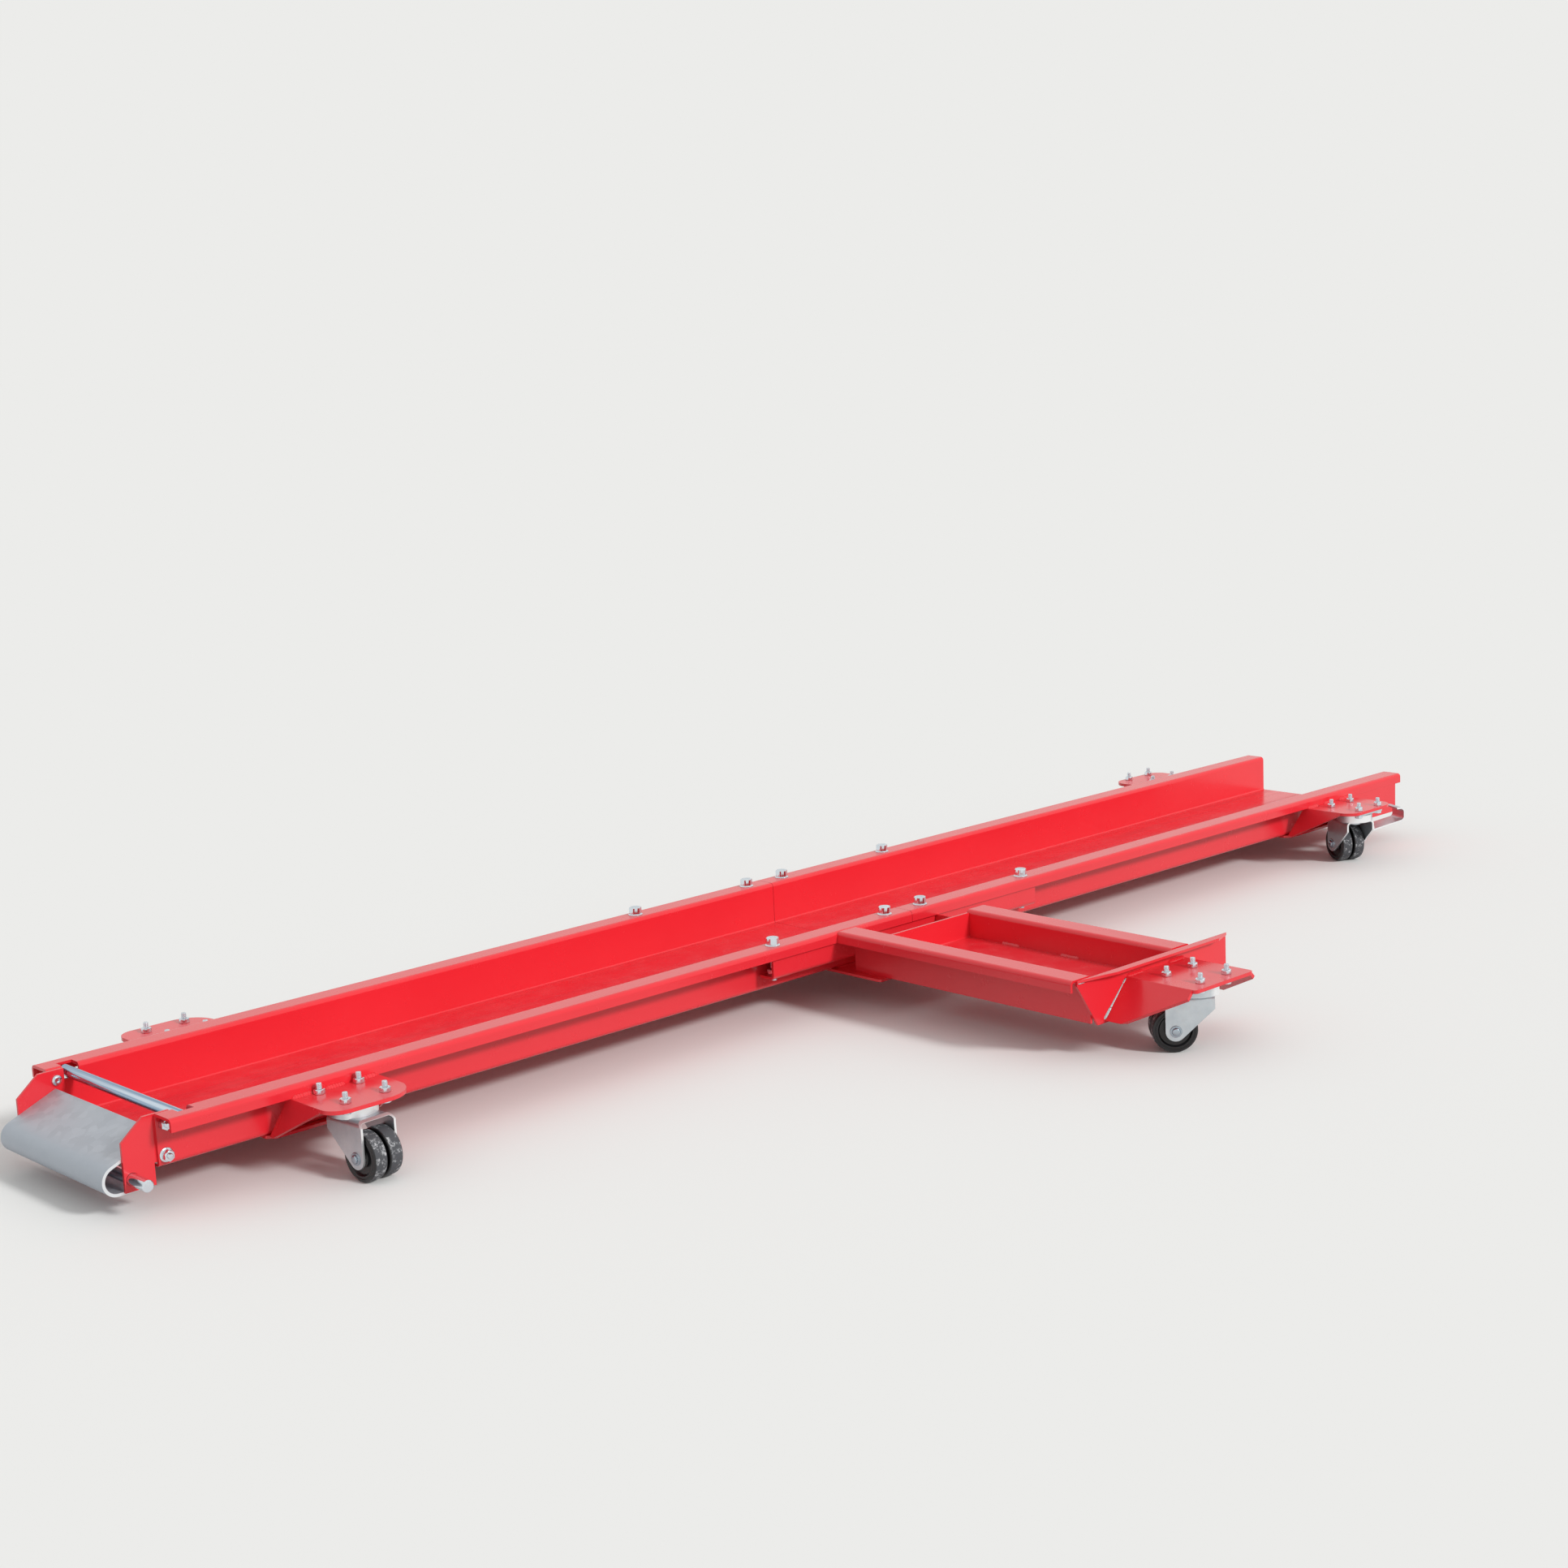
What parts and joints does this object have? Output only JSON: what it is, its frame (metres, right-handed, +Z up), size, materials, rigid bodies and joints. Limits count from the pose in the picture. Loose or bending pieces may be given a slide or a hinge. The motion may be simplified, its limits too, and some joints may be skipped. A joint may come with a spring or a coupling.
{
  "type": "motorcycle mover dolly",
  "caption": "Red steel track dolly for moving a motorcycle: folded hat-section rails with a short ramp, a side-stand tray and twin-wheel swivel casters.",
  "frame": {"origin": "on the ground under the middle of the outer box", "axes": "+X along the track away from the ramp, +Y away from the side-stand tray, +Z up"},
  "size_m": [2.0562, 0.8012, 0.103],
  "materials": {
    "red_powder_coat": "gloss",
    "zinc_plate": "bright zinc",
    "galvanised_sheet": "dull galvanised",
    "caster_wheel": "dusty black"
  },
  "bodies": {
    "frame": {"front_rail": "red_powder_coat", "rear_rail": "red_powder_coat", "near_joiner": "red_powder_coat", "far_joiner": "red_powder_coat", "joiner_bolts": "zinc_plate", "joiner_nuts": "zinc_plate", "splice_plate": "red_powder_coat", "front_cross_strap": "red_powder_coat", "rear_cross_strap": "red_powder_coat", "tray_left_side": "red_powder_coat", "tray_right_side": "red_powder_coat", "tray_pan": "red_powder_coat", "tray_end_plate": "red_powder_coat", "front_near_bracket": "red_powder_coat", "front_far_bracket": "red_powder_coat", "rear_near_bracket": "red_powder_coat", "rear_far_bracket": "red_powder_coat", "tray_bracket": "red_powder_coat", "near_ear": "red_powder_coat", "far_ear": "red_powder_coat", "ramp_plate": "galvanised_sheet", "ramp_rod": "zinc_plate", "ear_bolts": "zinc_plate", "ear_nuts": "zinc_plate", "front_near_caster_plate": "zinc_plate", "front_near_kingpin": "zinc_plate", "front_far_caster_plate": "zinc_plate", "front_far_kingpin": "zinc_plate", "rear_near_caster_plate": "zinc_plate", "rear_near_kingpin": "zinc_plate", "rear_far_caster_plate": "zinc_plate", "rear_far_kingpin": "zinc_plate", "tray_caster_plate": "zinc_plate", "tray_kingpin": "zinc_plate", "caster_bolts": "zinc_plate", "caster_nuts": "zinc_plate"},
    "stop_bar": {"stop_bar": "zinc_plate"},
    "front_near_swivel": {"front_near_fork": "zinc_plate", "front_near_axle": "zinc_plate"},
    "front_near_left_wheel": {"front_near_left_wheel": "caster_wheel"},
    "front_near_right_wheel": {"front_near_right_wheel": "caster_wheel"},
    "front_far_swivel": {"front_far_fork": "zinc_plate", "front_far_axle": "zinc_plate"},
    "front_far_left_wheel": {"front_far_left_wheel": "caster_wheel"},
    "front_far_right_wheel": {"front_far_right_wheel": "caster_wheel"},
    "rear_near_swivel": {"rear_near_fork": "zinc_plate", "rear_near_axle": "zinc_plate"},
    "rear_near_left_wheel": {"rear_near_left_wheel": "caster_wheel"},
    "rear_near_right_wheel": {"rear_near_right_wheel": "caster_wheel"},
    "rear_near_brake": {"rear_near_brake_pedal": "zinc_plate"},
    "rear_far_swivel": {"rear_far_fork": "zinc_plate", "rear_far_axle": "zinc_plate"},
    "rear_far_left_wheel": {"rear_far_left_wheel": "caster_wheel"},
    "rear_far_right_wheel": {"rear_far_right_wheel": "caster_wheel"},
    "rear_far_brake": {"rear_far_brake_pedal": "zinc_plate"},
    "tray_swivel": {"tray_fork": "zinc_plate", "tray_axle": "zinc_plate"},
    "tray_left_wheel": {"tray_left_wheel": "caster_wheel"},
    "tray_right_wheel": {"tray_right_wheel": "caster_wheel"}
  },
  "joints": [
    {"name": "stop_bar_lift", "type": "slide", "parent": "frame", "child": "stop_bar", "axis": [0, 0, 1], "range_m": [0, 0.06]},
    {"name": "front_near_swivel_turn", "type": "hinge", "parent": "frame", "child": "front_near_swivel", "pos_m": [-0.79394, 0.01594, 0.0623], "axis": [0, 0, 1], "continuous": true},
    {"name": "front_near_left_spin", "type": "hinge", "parent": "front_near_swivel", "child": "front_near_left_wheel", "pos_m": [-0.79213, -0.01, 0.025], "axis": [0.9976, 0.0698, 0], "continuous": true},
    {"name": "front_near_right_spin", "type": "hinge", "parent": "front_near_swivel", "child": "front_near_right_wheel", "pos_m": [-0.79213, -0.01, 0.025], "axis": [0.9976, 0.0698, 0], "continuous": true},
    {"name": "front_far_swivel_turn", "type": "hinge", "parent": "frame", "child": "front_far_swivel", "pos_m": [-0.79394, 0.34894, 0.0623], "axis": [0, 0, 1], "continuous": true},
    {"name": "front_far_left_spin", "type": "hinge", "parent": "front_far_swivel", "child": "front_far_left_wheel", "pos_m": [-0.79213, 0.37487, 0.025], "axis": [-0.9976, 0.0698, 0], "continuous": true},
    {"name": "front_far_right_spin", "type": "hinge", "parent": "front_far_swivel", "child": "front_far_right_wheel", "pos_m": [-0.79213, 0.37487, 0.025], "axis": [-0.9976, 0.0698, 0], "continuous": true},
    {"name": "rear_near_swivel_turn", "type": "hinge", "parent": "frame", "child": "rear_near_swivel", "pos_m": [0.85006, 0.00244, 0.0623], "axis": [0, 0, 1], "range_deg": [-165, 15]},
    {"name": "rear_near_left_spin", "type": "hinge", "parent": "rear_near_swivel", "child": "rear_near_left_wheel", "pos_m": [0.86104, 0.026, 0.025], "axis": [-0.9063, 0.4226, 0], "continuous": true},
    {"name": "rear_near_right_spin", "type": "hinge", "parent": "rear_near_swivel", "child": "rear_near_right_wheel", "pos_m": [0.86104, 0.026, 0.025], "axis": [-0.9063, 0.4226, 0], "continuous": true},
    {"name": "rear_near_brake_press", "type": "hinge", "parent": "rear_near_swivel", "child": "rear_near_brake", "pos_m": [0.87453, -0.00897, 0.0465], "axis": [0.4226, 0.9063, 0], "range_deg": [0, 20]},
    {"name": "rear_far_swivel_turn", "type": "hinge", "parent": "frame", "child": "rear_far_swivel", "pos_m": [0.85006, 0.36244, 0.0623], "axis": [0, 0, 1], "range_deg": [-15, 165]},
    {"name": "rear_far_left_spin", "type": "hinge", "parent": "rear_far_swivel", "child": "rear_far_left_wheel", "pos_m": [0.86104, 0.33887, 0.025], "axis": [0.9063, 0.4226, 0], "continuous": true},
    {"name": "rear_far_right_spin", "type": "hinge", "parent": "rear_far_swivel", "child": "rear_far_right_wheel", "pos_m": [0.86104, 0.33887, 0.025], "axis": [0.9063, 0.4226, 0], "continuous": true},
    {"name": "rear_far_brake_press", "type": "hinge", "parent": "rear_far_swivel", "child": "rear_far_brake", "pos_m": [0.87453, 0.37385, 0.0465], "axis": [-0.4226, 0.9063, 0], "range_deg": [0, 20]},
    {"name": "tray_swivel_turn", "type": "hinge", "parent": "frame", "child": "tray_swivel", "pos_m": [0.02356, -0.36256, 0.0623], "axis": [0, 0, 1], "continuous": true},
    {"name": "tray_left_spin", "type": "hinge", "parent": "tray_swivel", "child": "tray_left_wheel", "pos_m": [0.00454, -0.34483, 0.025], "axis": [-0.682, -0.7314, 0], "continuous": true},
    {"name": "tray_right_spin", "type": "hinge", "parent": "tray_swivel", "child": "tray_right_wheel", "pos_m": [0.00454, -0.34483, 0.025], "axis": [-0.682, -0.7314, 0], "continuous": true}
  ]
}
